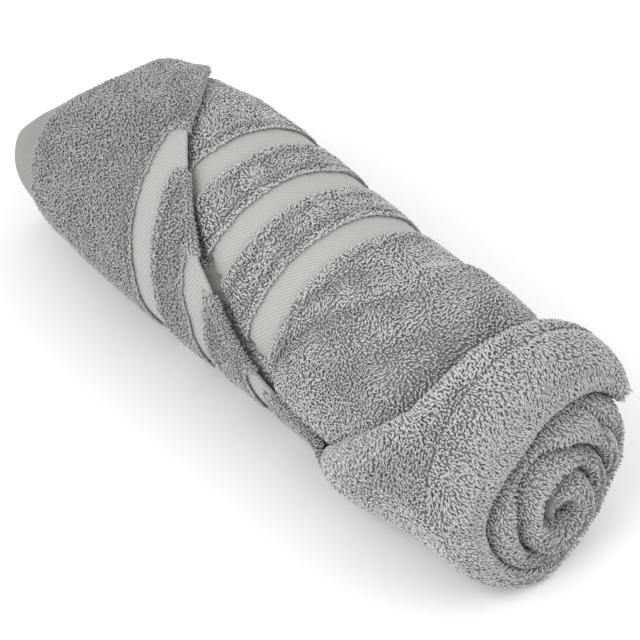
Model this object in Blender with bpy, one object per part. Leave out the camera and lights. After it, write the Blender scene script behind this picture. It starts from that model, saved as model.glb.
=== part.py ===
"""A bath towel, folded in half twice along its length and rolled up across its width.

Metres, +Z up. The roll lies along X with its hem end at -X and its folded end at +X.
The origin is on the floor under the middle of the roll's box.

The whole outer surface is laid out flat first, as a sheet of angle round the roll by place
along it. The lines where the cloth laps over itself, and the edges of the woven stripes, are
cut into that sheet, which is then wrapped round the roll. Angles are in degrees from the
bottom of the roll, by the front (-Y) to the top (180) and the back (270).
"""
import math

import bmesh
import bpy

# Driving dimensions of the roll
HEM_END = -0.1767         # plane of the hem's rim
LIP_START = 0.150         # where the folded end starts to round off
LIP_ARC = 0.024           # length of the surface round the fold
LIP_REACH = 0.017         # how far the fold reaches past its start
LIP_DEPTH = 0.012         # how far the fold draws in from the outside
END_TILT = 0.17           # lean of the folded end: its foot stands further out than its top
TILT_FROM = 0.120         # where that lean starts
FLAT_SINK = 0.0012        # how far the round is pressed into the floor, for the flat spot
AXIS_Y = 0.0026           # the roll's middle stands behind the box's, as its laps lie at the front

# Cloth
LAP = 0.0042              # one layer of terry lying over another
CUFF = 0.0055             # the outermost turn at the folded end
CUFF_BULGE = 0.0055       # extra loft of its left edge, low at the front
CUFF_LOFT = (55.0, 45.0, 0.012, 0.025)  # angle and its half width, place past the edge and its half width
TAIL_BULGE = 0.0020       # extra loft where the outermost turn ends, at the top of the back
TAIL_LOFT = (228.0, 30.0, 0.118, 0.142)  # angle and its half width, places where it starts and is full
SETTLED = (165.0, 200.0)  # angles over which the outermost turn's left edge thins out, at the top
SETTLED_TO = (0.118, 0.152)  # places over which it gains its height there
PILE = 0.0020             # terry stands this far above the smooth woven stripes and the hem
HEM_WIDTH = 0.0320        # smooth woven band at the hem end
STRIPE_WIDTH = 0.0145
STRIPE_PITCH = 0.0370
FIRST_STRIPE = -0.0463    # left edge of the first stripe, at the top of the roll
STRIPES = 3
WALL = 0.0014             # width of the slope at a stripe's edge and at a lap's edge
ROUND = 0.008             # width of the cuff's rounded edge
ROUND_SHARES = (0.0, 0.15, 0.5)  # lines along that edge, as shares of its width

# Wound ends
CORE = (0.0008, 0.040)    # middle of the winding at the folded end, from AXIS_Y and the floor
PITCH = 0.0164            # from one turn to the next at the folded end
FIRST_TURN = 0.0194       # radius of the groove at the bottom, one turn in
GROOVE = 0.0085           # depth of the groove between two turns
CORE_HOLE = (0.002, 0.007)  # radii between which the hole in the middle slopes in
CORE_DEPTH = 0.007
ROUNDNESS = 0.7           # fullness of a turn's crown between two grooves
FOLD_SHARES = (0.0, 0.1, 0.28, 0.5, 0.72, 0.9)   # lines along a turn, as shares of its width
HEM_SHARES = (0.0, 0.2, 0.5, 0.8)
HEM_PITCH = 0.0110        # from one turn to the next at the hem end
HEM_GROOVE = 0.0045
HEM_HOLLOW = 0.003        # how far the middle of the hem end lies inside the rim
HOLLOW_SPAN = (0.03, 0.35)  # shares of the way in over which that hollow deepens
GROOVES_FULL = 0.12       # share of the way in at which the grooves are full
TURNS = range(-2, 4)      # turns that may show at an end

# Mesh
COLUMNS = 56
CUT_PRECISION = 1e-6
WELD = 0.00008            # points nearer than this are one
SHARP_ANGLE = 40.0
SHEET_SCALE = 0.055       # metres of flat sheet for each radian round the roll
SEAM = -60.0              # angle at which the flat sheet starts and ends
HEM_FACE_ROWS = 3
BODY_ROWS = 31
LIP_ROWS = 4
FOLD_FACE_ROWS = 4

HEM_FACE = 0.036          # lengths of flat sheet that cover the two ends
FOLD_FACE = 0.045

# Cotton
GREY = (0.36, 0.38, 0.36)
ROUGHNESS = 0.95

# Radius of the second turn along the roll, at the tips of its pile
PROFILE = [  # place along the roll, radius
    (-0.1767, 0.0378),
    (-0.1700, 0.0410),
    (-0.1600, 0.0441),
    (-0.1480, 0.0468),
    (-0.1335, 0.0500),
    (-0.1190, 0.0518),
    (-0.1040, 0.0538),
    (-0.0740, 0.0562),
    (-0.0450, 0.0560),
    (0.0000, 0.0542),
    (0.0440, 0.0522),
    (0.0740, 0.0518),
    (0.1180, 0.0520),
    (0.1500, 0.0518),
    (0.1800, 0.0510),
]

# Height that the slumped hem end stays under, along the roll
CEILING = [  # place along the roll, height
    (-0.1767, 0.0600),
    (-0.1600, 0.0778),
    (-0.1480, 0.0860),
    (-0.1400, 0.0940),
    (-0.1200, 0.1043),
    (-0.1000, 0.1120),
    (-0.0800, 0.1220),
    (-0.0600, 0.1350),
    (-0.0200, 0.2000),
]
SLUMP_SOFT = 0.005        # how softly the round top gives way to that height

# Free edge of the outer lap, which runs slantwise over the roll and ends at the hem's rim
LAP_EDGE = [  # angle, place along the roll
    (67.5, 0.0775),
    (75.0, 0.0620),
    (84.0, 0.0455),
    (90.0, 0.0315),
    (105.0, 0.0130),
    (112.5, 0.0045),
    (120.0, -0.0090),
    (135.0, -0.0265),
    (150.0, -0.0430),
    (165.0, -0.0605),
    (180.0, -0.0725),
    (202.5, -0.0950),
    (225.0, -0.1150),
    (262.5, -0.1500),
    (292.5, -0.1790),
]

# Left edge of the cuff, where the outermost turn stands proud of the one under it
CUFF_EDGE = [  # angle, place along the roll
    (67.5, 0.0830),
    (75.0, 0.0865),
    (90.0, 0.0985),
    (105.0, 0.1105),
    (127.5, 0.1245),
    (150.0, 0.1305),
    (180.0, 0.1345),
    (240.0, 0.1300),
]

# Second, softer fold in the turn under the lap and the cuff
SOFT_FOLD = [  # angle, place along the roll
    (67.5, 0.0380),
    (90.0, 0.0420),
    (127.5, 0.0560),
    (157.5, 0.0680),
    (180.0, 0.0715),
    (240.0, 0.0740),
]
SOFT_RISE = 0.0026
SOFT_SPAN = (60.0, 75.0, 225.0, 240.0)  # angles where it starts, is full, starts to fade and ends
SOFT_STEP = 0.010         # width of its rise
SOFT_FADE = 0.050         # where it has died away

# Skew of the stripes, as they run round the two turns that show
LAP_SKEW = [  # angle, shift along the roll
    (-60.0, 0.0040),
    (60.0, -0.0003),
    (90.0, -0.0027),
    (120.0, -0.0098),
    (150.0, -0.0185),
    (300.0, -0.0454),
]
UNDER_SKEW = [  # angle, shift along the roll
    (60.0, -0.0040),
    (110.0, -0.0028),
    (140.0, 0.0002),
    (175.0, 0.0026),
    (210.0, 0.0048),
    (300.0, 0.0040),
]

MOUTH = (60.0, 67.5)      # angles between which the outer turn parts into lap and cuff
CUFF_END = (232.5, 255.0)  # angles between which the outermost turn's end drops off
RISE = (-60.0, 0.0)       # angles over which the outermost turn lifts off the one under it
TOP = 180.0
MERGE = (0.060, 0.090)    # places between which lap and cuff differ in height below the mouth


def clear_scene():
    for old in list(bpy.data.objects):
        bpy.data.objects.remove(old, do_unlink=True)


def cloth_material(name, colour, roughness):
    material = bpy.data.materials.new(name)
    material.use_nodes = True
    shader = material.node_tree.nodes["Principled BSDF"]
    shader.inputs["Base Color"].default_value = (*colour, 1.0)
    shader.inputs["Roughness"].default_value = roughness
    shader.inputs["Metallic"].default_value = 0.0
    return material


def ramp(value, start, end):
    return min(1.0, max(0.0, (value - start) / (end - start)))


def ease(value, start, end):
    t = ramp(value, start, end)
    return t * t * (3.0 - 2.0 * t)


def bell(value, middle, width):
    return math.exp(-((value - middle) / width) ** 2)


def along(table, at):
    """Straight lines between a table's rows."""
    if at <= table[0][0]:
        return table[0][1]
    for (a, low), (b, high) in zip(table, table[1:]):
        if at <= b:
            return low + (high - low) * (at - a) / (b - a)
    return table[-1][1]


def stripe_edges():
    """Left and right edge of each woven stripe, before the skew."""
    for number in range(STRIPES):
        left = FIRST_STRIPE + number * STRIPE_PITCH
        yield left, left + STRIPE_WIDTH


def over_lap(angle, place):
    """Whether the outer turn covers this spot, to the left of its slanting edge."""
    return angle < MOUTH[1] or place < along(LAP_EDGE, angle) + 0.5 * WALL


def woven(angle, place):
    """How far into a smooth woven stripe or the hem this spot lies, from 0 to 1."""
    skew = LAP_SKEW if over_lap(angle, place) else UNDER_SKEW
    shift = along(skew, angle)
    inside = 1.0 - ramp(place, HEM_END + HEM_WIDTH - WALL, HEM_END + HEM_WIDTH)
    for left, right in stripe_edges():
        enter = ramp(place, left + shift, left + shift + WALL)
        leave = ramp(place, right + shift - WALL, right + shift)
        inside = max(inside, enter * (1.0 - leave))
    return inside


def cuff_height(angle, place):
    """Height of the outermost turn at the folded end over the turn under it."""
    turn, turn_width, inset, width = CUFF_LOFT
    loft = CUFF_BULGE * bell(angle, turn, turn_width) * bell(place, along(CUFF_EDGE, angle) + inset, width)
    turn, turn_width, start, full = TAIL_LOFT
    tail = TAIL_BULGE * bell(angle, turn, turn_width) * ease(place, start, full)
    settled = ease(angle, *SETTLED) * (1.0 - ease(place, *SETTLED_TO))
    return (CUFF + loft) * (1.0 - settled) + tail


def lift(angle, place):
    """Height of the surface over the second turn."""
    outer = ease(angle, *RISE)
    split = ramp(angle, *MOUTH)
    blend = ease(place, *MERGE)
    whole = (LAP * (1.0 - blend) + cuff_height(angle, place) * blend) * (1.0 - split)
    lap = LAP * (1.0 - ramp(place, along(LAP_EDGE, angle), along(LAP_EDGE, angle) + WALL))
    step = ramp(place, along(CUFF_EDGE, angle), along(CUFF_EDGE, angle) + ROUND)
    cuff = cuff_height(angle, place) * math.sqrt(1.0 - (1.0 - step) ** 2)
    cuff *= 1.0 - ease(angle, *CUFF_END)
    fold = along(SOFT_FOLD, angle)
    soft = SOFT_RISE * ease(place, fold, fold + SOFT_STEP)
    soft *= 1.0 - ease(place, fold + SOFT_STEP, fold + SOFT_FADE)
    soft *= ease(angle, *SOFT_SPAN[:2]) * (1.0 - ease(angle, *SOFT_SPAN[2:]))
    return outer * (whole + split * max(lap, cuff)) + split * soft


def middle(place):
    """Height of the roll's middle over the floor."""
    return along(PROFILE, place) + LAP - FLAT_SINK


def slump(upward, place):
    """How far the flattened top of the hem end sinks, for each metre from the middle."""
    whole = along(PROFILE, place) + LAP
    over = middle(place) + whole * upward - along(CEILING, place)
    return 0.5 * (math.hypot(over, SLUMP_SOFT) + over) / whole


def on_body(angle, place):
    radius = along(PROFILE, place) + lift(angle, place) - PILE * woven(angle, place)
    turn = math.radians(angle)
    upward = -math.cos(turn)
    y = -radius * math.sin(turn)
    z = middle(place) + radius * (upward - slump(upward, place))
    lean = END_TILT * (middle(place) - z) * ease(place, TILT_FROM, LIP_START)
    return (place + lean, y, z)


def towards(start, end, share):
    return tuple(a + (b - a) * share for a, b in zip(start, end))


def on_lip(angle, share):
    """Round the fold, from the outside at 0 to the end face at 1."""
    x, y, z = on_body(angle, LIP_START)
    turn = 0.5 * math.pi * share
    inward = LIP_DEPTH * (1.0 - math.cos(turn)) / math.hypot(y, z - middle(LIP_START))
    y, z = towards((y, z), (0.0, middle(LIP_START)), inward)
    return (x + LIP_REACH * math.sin(turn), y, z)


def winding(edge, core, angle):
    """Distance of an end's outer edge from the middle of its winding, and its direction."""
    y = edge[1] - core[0]
    z = edge[2] - core[1]
    around = math.degrees(math.atan2(-y, -z))
    return math.hypot(y, z), around + 360.0 * round((angle - around) / 360.0)


def groove(radius, around, first, pitch, depth):
    """Depth below the turns' crowns of a spiral groove, rounded between one turn and the next."""
    turns = (radius - first) / pitch - around / 360.0
    phase = turns - math.floor(turns)
    wound = ease(radius, *CORE_HOLE)
    return wound * depth * (1.0 - math.sin(math.pi * phase) ** ROUNDNESS)


def hem_core():
    return (0.0, 0.5 * along(CEILING, HEM_END))


def on_fold_face(angle, share):
    """From the fold at 0 to the middle of the winding at 1."""
    edge = on_lip(angle, 1.0)
    reach, around = winding(edge, CORE, angle)
    radius = reach * (1.0 - share)
    y, z = towards(edge[1:], CORE, share)
    face = LIP_START + LIP_REACH + END_TILT * (middle(LIP_START) - z)
    sunk = groove(radius, around, FIRST_TURN, PITCH, GROOVE) * ramp(share, 0.0, GROOVES_FULL)
    hole = CORE_DEPTH * (1.0 - ease(radius, *CORE_HOLE))
    return (face - sunk - hole, y, z)


def on_hem_face(angle, share):
    """From the hem's rim at 0 to the middle of the winding at 1."""
    edge = on_body(angle, HEM_END)
    reach, around = winding(edge, hem_core(), angle)
    radius = reach * (1.0 - share)
    y, z = towards(edge[1:], hem_core(), share)
    sunk = groove(radius, around, 0.0, HEM_PITCH, HEM_GROOVE) * ramp(share, 0.0, GROOVES_FULL)
    return (edge[0] + HEM_HOLLOW * ease(share, *HOLLOW_SPAN) + sunk, y, z)


def wrap(angle, place):
    """Point on the roll for a point of the flat sheet, which runs over both ends."""
    if place < HEM_END:
        point = on_hem_face(angle, (HEM_END - place) / HEM_FACE)
    elif place <= LIP_START:
        point = on_body(angle, place)
    elif place <= LIP_START + LIP_ARC:
        point = on_lip(angle, (place - LIP_START) / LIP_ARC)
    else:
        point = on_fold_face(angle, (place - LIP_START - LIP_ARC) / FOLD_FACE)
    return (point[0], point[1] + AXIS_Y, max(0.0, point[2]))


def row_places():
    """Places of the flat sheet's rows, from the middle of one end to the middle of the other."""
    spans = [
        (HEM_END - HEM_FACE, HEM_END, HEM_FACE_ROWS),
        (HEM_END, LIP_START, BODY_ROWS),
        (LIP_START, LIP_START + LIP_ARC, LIP_ROWS),
        (LIP_START + LIP_ARC, LIP_START + LIP_ARC + FOLD_FACE, FOLD_FACE_ROWS),
    ]
    places = [spans[0][0]]
    for start, end, rows in spans:
        places += [start + (end - start) * (n + 1) / rows for n in range(rows)]
    return places


def sheet_x(angle):
    return SHEET_SCALE * math.radians(angle)


def sheet_angle(x):
    return math.degrees(x / SHEET_SCALE)


def flat_sheet():
    places = row_places()
    sheet = bmesh.new()
    bmesh.ops.create_grid(sheet, x_segments=COLUMNS, y_segments=len(places) - 1, size=0.5)
    for vert in sheet.verts:
        column = round((vert.co.x + 0.5) * COLUMNS)
        row = round((vert.co.y + 0.5) * (len(places) - 1))
        vert.co.x = sheet_x(SEAM + 360.0 * column / COLUMNS)
        vert.co.y = places[row]
    return sheet


def score(sheet, line, offset, start, end, keep):
    """Cut the sheet's faces along a line of angles and places, moved sideways by offset."""
    stops = sorted({start, end} | {angle for angle, place in line if start < angle < end})
    for a, b in zip(stops, stops[1:]):
        ends = [(sheet_x(angle), along(line, angle) + offset) for angle in (a, b)]
        (x0, y0), (x1, y1) = ends
        faces = []
        for face in sheet.faces:
            middle_of_face = face.calc_center_median()
            if x0 < middle_of_face.x < x1 and keep(middle_of_face):
                faces.append(face)
        parts = {edge for face in faces for edge in face.edges}
        corners = {vert for face in faces for vert in face.verts}
        bmesh.ops.bisect_plane(
            sheet,
            geom=faces + list(parts) + list(corners),
            dist=CUT_PRECISION,
            plane_co=(x0, y0, 0.0),
            plane_no=(y1 - y0, x0 - x1, 0.0),
        )


def score_laps(sheet):
    for offset in (0.0, WALL):
        score(sheet, LAP_EDGE, offset, LAP_EDGE[0][0], LAP_EDGE[-1][0], lambda spot: True)
    for share in ROUND_SHARES:
        score(sheet, CUFF_EDGE, share * ROUND, CUFF_EDGE[0][0], CUFF_EDGE[-1][0], lambda spot: True)


def score_stripes(sheet):
    def on_lap(spot):
        return over_lap(sheet_angle(spot.x), spot.y)

    def under_lap(spot):
        return not on_lap(spot)

    for left, right in stripe_edges():
        for place in (left, left + WALL, right - WALL, right):
            lap_line = [(angle, place + shift) for angle, shift in LAP_SKEW]
            under_line = [(angle, place + shift) for angle, shift in UNDER_SKEW]
            score(sheet, lap_line, 0.0, SEAM, MOUTH[1], on_lap)
            score(sheet, lap_line, 0.0, MOUTH[1], TOP, on_lap)
            score(sheet, under_line, 0.0, MOUTH[1], SEAM + 360.0, under_lap)
    hem_line = [(SEAM, HEM_END + HEM_WIDTH), (SEAM + 360.0, HEM_END + HEM_WIDTH)]
    for offset in (0.0, -WALL):
        score(sheet, hem_line, offset, SEAM, SEAM + 360.0, lambda spot: True)


def spiral_line(turn, edge_at, core, first, pitch, place_at):
    """One turn of a line that winds in towards the middle of an end, laid out flat."""
    line = []
    for column in range(COLUMNS + 1):
        angle = SEAM + 360.0 * column / COLUMNS
        reach, around = winding(edge_at(angle), core, angle)
        radius = first + pitch * (turn + around / 360.0)
        line.append((angle, place_at(1.0 - radius / reach)))
    return line


def score_windings(sheet):
    fold_edge = LIP_START + LIP_ARC

    def lip_edge(angle):
        return on_lip(angle, 1.0)

    def rim(angle):
        return on_body(angle, HEM_END)

    for whole in TURNS:
        for share in FOLD_SHARES:
            line = spiral_line(whole + share, lip_edge, CORE, FIRST_TURN, PITCH,
                               lambda part: fold_edge + FOLD_FACE * part)
            score(sheet, line, 0.0, SEAM, SEAM + 360.0, lambda spot: spot.y > fold_edge)
        for share in HEM_SHARES:
            line = spiral_line(whole + share, rim, hem_core(), 0.0, HEM_PITCH,
                               lambda part: HEM_END - HEM_FACE * part)
            score(sheet, line, 0.0, SEAM, SEAM + 360.0, lambda spot: spot.y < HEM_END)


def rolled_towel():
    sheet = flat_sheet()
    score_windings(sheet)
    score_laps(sheet)
    score_stripes(sheet)
    for vert in sheet.verts:
        vert.co = wrap(sheet_angle(vert.co.x), vert.co.y)
    bmesh.ops.remove_doubles(sheet, verts=sheet.verts, dist=WELD)
    bmesh.ops.triangulate(sheet, faces=sheet.faces)
    bmesh.ops.recalc_face_normals(sheet, faces=sheet.faces)
    mesh = bpy.data.meshes.new("rolled_towel")
    sheet.to_mesh(mesh)
    sheet.free()
    mesh.shade_smooth()
    mesh.set_sharp_from_angle(angle=math.radians(SHARP_ANGLE))
    towel = bpy.data.objects.new("rolled_towel", mesh)
    bpy.context.scene.collection.objects.link(towel)
    mesh.materials.append(cloth_material("grey_terry", GREY, ROUGHNESS))
    return towel


clear_scene()
rolled_towel()
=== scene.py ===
import math

import bmesh
import bpy
import numpy as np
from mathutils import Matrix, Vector


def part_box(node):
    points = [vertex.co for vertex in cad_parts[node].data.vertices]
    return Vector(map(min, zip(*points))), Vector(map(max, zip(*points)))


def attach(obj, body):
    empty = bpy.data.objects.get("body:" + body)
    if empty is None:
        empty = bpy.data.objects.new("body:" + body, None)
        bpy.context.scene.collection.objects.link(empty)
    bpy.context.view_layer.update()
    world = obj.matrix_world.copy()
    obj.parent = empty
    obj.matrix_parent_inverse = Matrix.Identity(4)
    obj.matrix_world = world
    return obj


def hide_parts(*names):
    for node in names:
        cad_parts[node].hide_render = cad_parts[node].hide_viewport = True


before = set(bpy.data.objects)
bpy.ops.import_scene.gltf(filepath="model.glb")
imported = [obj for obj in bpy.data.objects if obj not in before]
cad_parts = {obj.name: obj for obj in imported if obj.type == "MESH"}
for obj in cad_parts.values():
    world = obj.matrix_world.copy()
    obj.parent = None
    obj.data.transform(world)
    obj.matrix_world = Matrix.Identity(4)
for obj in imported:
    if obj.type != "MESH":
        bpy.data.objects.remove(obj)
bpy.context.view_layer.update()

# Places run along the roll, from the hem end (-X) to the folded end (+X). Angles are degrees of
# winding: 0 at the bottom, 90 at the front (-Y), 180 at the top. They go on past 360 a turn at a
# time, so a whole turn less is one turn further in.
HEM_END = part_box("rolled_towel")[0].x
AXIS_Y = 0.0026            # place of the roll's middle across
FLAT_SINK = 0.0012         # how far the round is pressed into the floor
LIP_START = 0.150          # place where the fold at the folded end starts
LIP_REACH = 0.017          # how far the fold reaches past that
TILT_FROM = 0.120          # place where the folded end starts to lean out
END_TILT = 0.17            # how far it leans, for each metre below the middle
DOME = 0.0080              # how far the middle of the folded end stands out
DOME_RADIUS = 0.060
SLUMP_SOFT = 0.005         # how softly the slumped top of the hem end starts

PILE = 0.0023              # height of the pile over the cloth
HEM_WIDTH = 0.0320         # smooth band at the hem end
STRIPES = 3
STRIPE_WIDTH = 0.0145
STRIPE_PITCH = 0.0370      # from one stripe to the next
FIRST_STRIPE = -0.0463     # place of the first stripe's left side
EDGE_BEND = 0.0065         # how far the stripes turn off along the lap's edge
BEND_FROM = 0.011          # how far short of that edge they start to turn off
BEND_FULL = 0.001          # and how far short of it they have

CORE_ANGLE = -1040.0       # angle where the cloth starts, in the core
CORE_RADIUS = 0.0040
CORE = (0.0052, 0.035)     # the core at the folded end: past the roll's middle, and its height
UNDER_FROM = -295.0        # angle where the second turn starts
SEAM = -60.0               # angle where the outermost turn starts, low at the back
RISE = (-60.0, 0.0)        # angles over which it climbs to its full height
MOUTH = (60.0, 67.5)       # angles over which lap and cuff come apart
CUFF_END = (232.0, 246.0)  # angles over which the cuff's end closes
MERGE = (0.060, 0.090)     # places over which the lap's height goes over into the cuff's
COILED_AT = -75.0          # up to this angle the folded end follows its coil
LOOSE_AT = -15.0           # and from this one it doesn't
NEAR_FROM = 0.105          # place where the coil starts to shape the turns
LEAST_COIL = 0.001         # least distance from the core

LAP = 0.0042               # height of the lap over the turn under it
FLARE = 0.0030             # how much higher its free edge stands
FLARE_FROM = (70.0, 85.0)  # angles over which the edge starts to stand
FLARE_WIDTH = 0.012        # width of the cloth that stands with it
CUFF = 0.0055              # height of the cuff over the turn under it
ROUND = 0.008              # size of its rounded edge
CUFF_BULGE = 0.0070        # how much higher the cuff stands, low at the front
BULGE_AT = (55.0, 45.0)    # angle, half width
BULGE_PAST = 0.012         # distance past the cuff's edge
BULGE_WIDTH = 0.025
TAIL_BULGE = 0.0020        # how much higher it stands near its end
TAIL_AT = (228.0, 30.0)
TAIL_FROM = (0.118, 0.142)
SETTLED = (165.0, 200.0)   # angles over which the cuff's height sinks away
SETTLED_TO = (0.118, 0.152)    # places over which that ends
SOFT_RISE = 0.0026         # height of the softer fold under the lap
SOFT_SPAN = (60.0, 75.0, 225.0, 240.0)   # angles over which it starts, and over which it ends
SOFT_CREST = 0.010         # distance from the fold's start to its top
SOFT_FOOT = 0.050          # and to its end

PROFILE = [  # place along the roll, radius of the second turn at the tips of its pile
    (-0.1767, 0.0378),
    (-0.1735, 0.0396),
    (-0.1700, 0.0410),
    (-0.1660, 0.0424),
    (-0.1600, 0.0441),
    (-0.1480, 0.0468),
    (-0.1335, 0.0500),
    (-0.1190, 0.0518),
    (-0.1040, 0.0538),
    (-0.0740, 0.0562),
    (-0.0450, 0.0560),
    (0.0000, 0.0542),
    (0.0440, 0.0522),
    (0.0740, 0.0518),
    (0.1180, 0.0520),
    (0.1500, 0.0518),
    (0.1800, 0.0510),
]
CEILING = [  # place, height that the slumped hem end stays under
    (-0.1767, 0.0600),
    (-0.1600, 0.0778),
    (-0.1480, 0.0860),
    (-0.1400, 0.0940),
    (-0.1200, 0.1043),
    (-0.1000, 0.1120),
    (-0.0800, 0.1220),
    (-0.0600, 0.1350),
    (-0.0200, 0.2000),
]
LAP_EDGE = [  # angle, place
    (67.5, 0.0775),
    (75.0, 0.0620),
    (84.0, 0.0455),
    (90.0, 0.0315),
    (105.0, 0.0130),
    (112.5, 0.0045),
    (120.0, -0.0090),
    (135.0, -0.0265),
    (150.0, -0.0430),
    (165.0, -0.0605),
    (180.0, -0.0725),
    (202.5, -0.0950),
    (225.0, -0.1150),
    (262.5, -0.1500),
    (292.5, -0.1790),
]
CUFF_EDGE = [  # angle, place
    (67.5, 0.0812),
    (75.0, 0.0848),
    (90.0, 0.0975),
    (105.0, 0.1105),
    (127.5, 0.1245),
    (150.0, 0.1305),
    (180.0, 0.1345),
    (240.0, 0.1300),
]
SOFT_FOLD = [  # angle, place
    (67.5, 0.0380),
    (90.0, 0.0420),
    (127.5, 0.0560),
    (157.5, 0.0680),
    (180.0, 0.0715),
    (240.0, 0.0740),
]
COIL = [  # angle, distance from the core at the folded end
    (-1400.0, 0.0015),
    (-1200.0, 0.0030),
    (-1040.0, 0.0100),
    (-900.0, 0.0160),
    (-800.0, 0.0190),
    (-700.0, 0.0225),
    (-660.0, 0.0240),
    (-631.0, 0.0256),
    (-600.0, 0.0288),
    (-565.0, 0.0312),
    (-545.0, 0.0300),
    (-520.0, 0.0275),
    (-498.0, 0.0268),
    (-478.0, 0.0285),
    (-450.0, 0.0288),
    (-380.0, 0.0280),
    (-340.0, 0.0300),
    (-301.0, 0.0345),
    (-280.0, 0.0385),
    (-262.0, 0.0418),
    (-248.0, 0.0416),
    (-232.0, 0.0387),
    (-215.0, 0.0370),
    (-200.0, 0.0380),
    (-185.0, 0.0410),
    (-165.0, 0.0445),
    (-146.0, 0.0490),
    (-127.0, 0.0515),
    (-112.0, 0.0482),
    (-86.0, 0.0398),
    (-63.0, 0.0372),
    (-45.0, 0.0362),
    (-28.0, 0.0345),
]
CREASES = [  # depth, half width, angles, places: soft troughs in the second turn
    (0.0019, 0.0038, (95.0, 111.0, 126.0, 133.0, 145.0, 159.0, 172.0),
     (0.0360, 0.0390, 0.0422, 0.0473, 0.0522, 0.0560, 0.0640)),
    (0.0024, 0.0042, (90.0, 102.0, 116.0, 130.0, 137.0, 146.0, 154.0, 163.0, 176.0),
     (0.0430, 0.0464, 0.0510, 0.0579, 0.0621, 0.0697, 0.0765, 0.0825, 0.0880)),
    (0.0016, 0.0050, (180.0, 188.0, 201.0, 212.0), (0.0900, 0.0893, 0.0882, 0.0860)),
    (0.0012, 0.0060, (118.0, 130.0, 150.0, 168.0), (0.0860, 0.0900, 0.1010, 0.1080)),
]
CREASE_END = 9.0           # angle over which a trough starts and ends
GAP_DEPTH = 0.0075         # depth of the trough under the lap's edge
GAP_TROUGH = (0.0038, 0.0064)   # how far short of the edge it lies, half width
GAP_LEAST = 0.40           # what is left of it far from its deepest angle
GAP_AT = (108.0, 26.0)     # that angle, half width
LAP_SKEW = [  # angle, shift of the stripes
    (-60.0, 0.0040),
    (60.0, -0.0003),
    (90.0, -0.0027),
    (120.0, -0.0098),
    (150.0, -0.0185),
    (300.0, -0.0454),
]
UNDER_SKEW = [  # angle, the same for the second turn
    (60.0, -0.0040),
    (110.0, -0.0028),
    (140.0, 0.0002),
    (175.0, 0.0026),
    (210.0, 0.0048),
    (300.0, 0.0040),
]


def along(table, at):
    return np.interp(at, [row[0] for row in table], [row[1] for row in table])


def ramp(value, start, end):
    return np.clip((value - start) / (end - start), 0.0, 1.0)


def ease(value, start, end):
    t = ramp(value, start, end)
    return t * t * (3.0 - 2.0 * t)


def bell(value, middle, width):
    return np.exp(-((value - middle) / width) ** 2)


def mix(a, b, share):
    return a + (b - a) * share


def lap_edge(angle):
    return along(LAP_EDGE, angle)


def cuff_edge(angle):
    return along(CUFF_EDGE, angle)


def around(angle):
    """The angle within the turn that starts and ends at the seam, low at the back."""
    return (angle - SEAM) % 360.0 + SEAM


def skew(angle):
    """Shift of the stripes along the roll at a winding angle."""
    return np.where(angle >= SEAM, along(LAP_SKEW, angle), along(UNDER_SKEW, around(angle)))


def bend(angle, place):
    """Shift of the stripes close beside the lap's free edge."""
    near = ease(place, lap_edge(angle) - BEND_FROM, lap_edge(angle) - BEND_FULL)
    return np.where(angle > MOUTH[0], EDGE_BEND * near, 0.0)


def cuff_height(angle, place):
    """Height of the cuff over the turn under it."""
    loft = CUFF_BULGE * bell(angle, *BULGE_AT) * bell(place, cuff_edge(angle) + BULGE_PAST, BULGE_WIDTH)
    tail = TAIL_BULGE * bell(angle, *TAIL_AT) * ease(place, *TAIL_FROM)
    settled = ease(angle, *SETTLED) * (1.0 - ease(place, *SETTLED_TO))
    return (CUFF + loft) * (1.0 - settled) + tail


def outer_height(angle, place):
    """Height of the outermost turn over the one under it."""
    blend = ease(place, *MERGE)
    beside = ease(place, lap_edge(angle) - FLARE_WIDTH, lap_edge(angle))
    flare = FLARE * lap_gap(angle) * ease(angle, *FLARE_FROM) * beside
    return ease(angle, *RISE) * mix(LAP + flare, cuff_height(angle, place), blend)


def soft_height(angle, place):
    """The softer fold in the turn under the lap."""
    fold = along(SOFT_FOLD, angle)
    crest = fold + SOFT_CREST
    height = ease(place, fold, crest) * (1.0 - ease(place, crest, fold + SOFT_FOOT))
    span = ease(angle, *SOFT_SPAN[:2]) * (1.0 - ease(angle, *SOFT_SPAN[2:]))
    return SOFT_RISE * height * span


def lap_gap(angle):
    """How far the lap's edge stands off, most of all low at the front."""
    return mix(GAP_LEAST, 1.0, bell(angle, *GAP_AT))


def creases(angle, place):
    """Depth of the soft troughs pressed into the turn under the lap."""
    short, half_width = GAP_TROUGH
    depth = GAP_DEPTH * lap_gap(angle) * bell(place, lap_edge(angle) - short, half_width)
    for deep, wide, angles, places in CREASES:
        run = ease(angle, angles[0] - CREASE_END, angles[0] + CREASE_END)
        run = run * (1.0 - ease(angle, angles[-1] - CREASE_END, angles[-1] + CREASE_END))
        depth = depth + deep * run * bell(place, np.interp(angle, angles, places), wide)
    return depth


def middle(place):
    """Height of the roll's middle."""
    return along(PROFILE, place) + LAP - FLAT_SINK


def slump(upward, axis, place):
    """How far the hem end's flattened top sinks, for each metre from the middle."""
    whole = along(PROFILE, place) + LAP
    over = axis + whole * upward - along(CEILING, place)
    return 0.5 * (np.sqrt(over * over + SLUMP_SOFT ** 2) + over) / whole


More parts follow.
